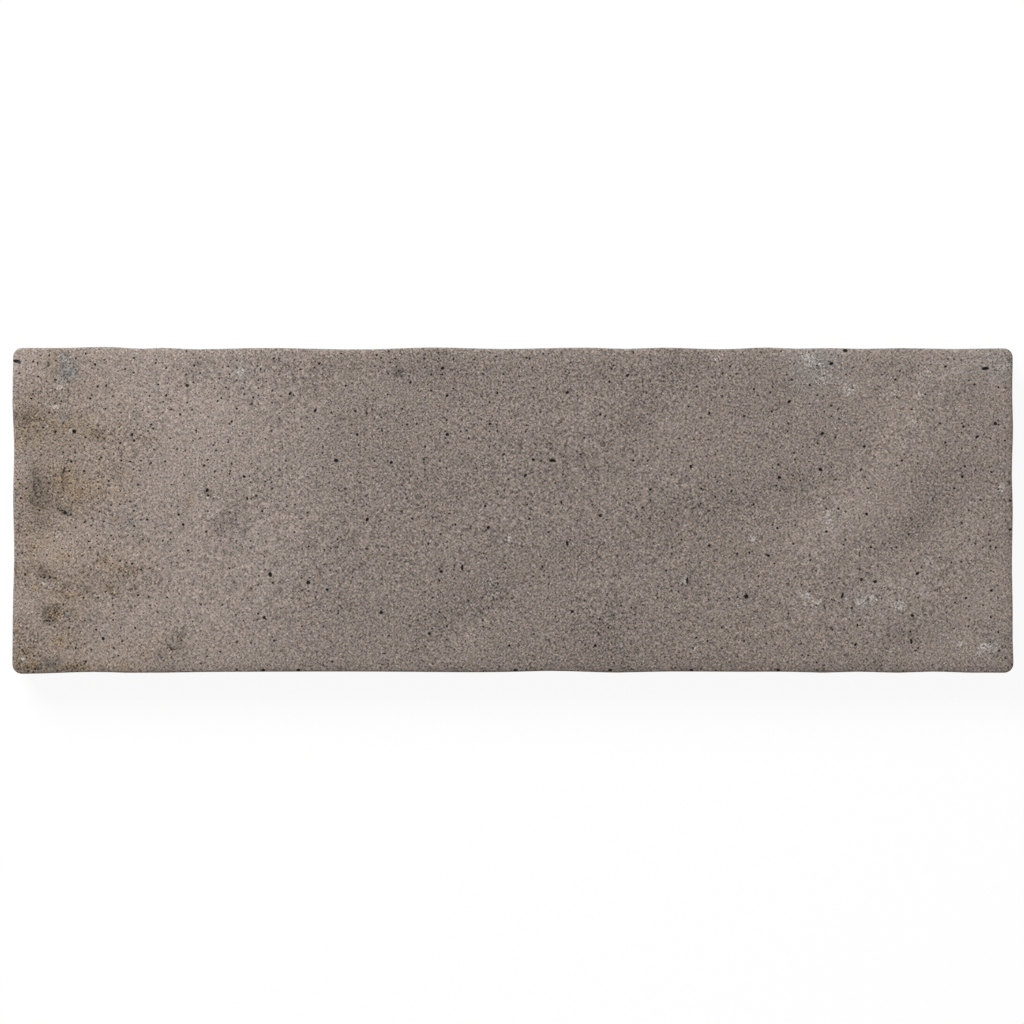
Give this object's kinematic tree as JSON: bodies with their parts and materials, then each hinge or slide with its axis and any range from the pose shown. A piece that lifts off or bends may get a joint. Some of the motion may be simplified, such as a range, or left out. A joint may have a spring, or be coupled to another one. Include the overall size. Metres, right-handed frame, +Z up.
{
  "type": "textured ceramic tile",
  "caption": "Oblong pressed ceramic tile with gently waved edges, a rolled rim, an uneven mottled face and a keyed back, for covering a wall or floor.",
  "frame": {"origin": "centre of the bedding plane under the tile, halfway along its length and its width", "axes": "+X along the length, +Y along the width, towards the edge at the top of the picture, +Z up, out of the face"},
  "size_m": [0.2004, 0.0654, 0.0088],
  "materials": {
    "fired_clay": "matte mottled grey-brown, with fine pinholes"
  },
  "bodies": {
    "root": {"tile": "fired_clay"}
  },
  "joints": []
}
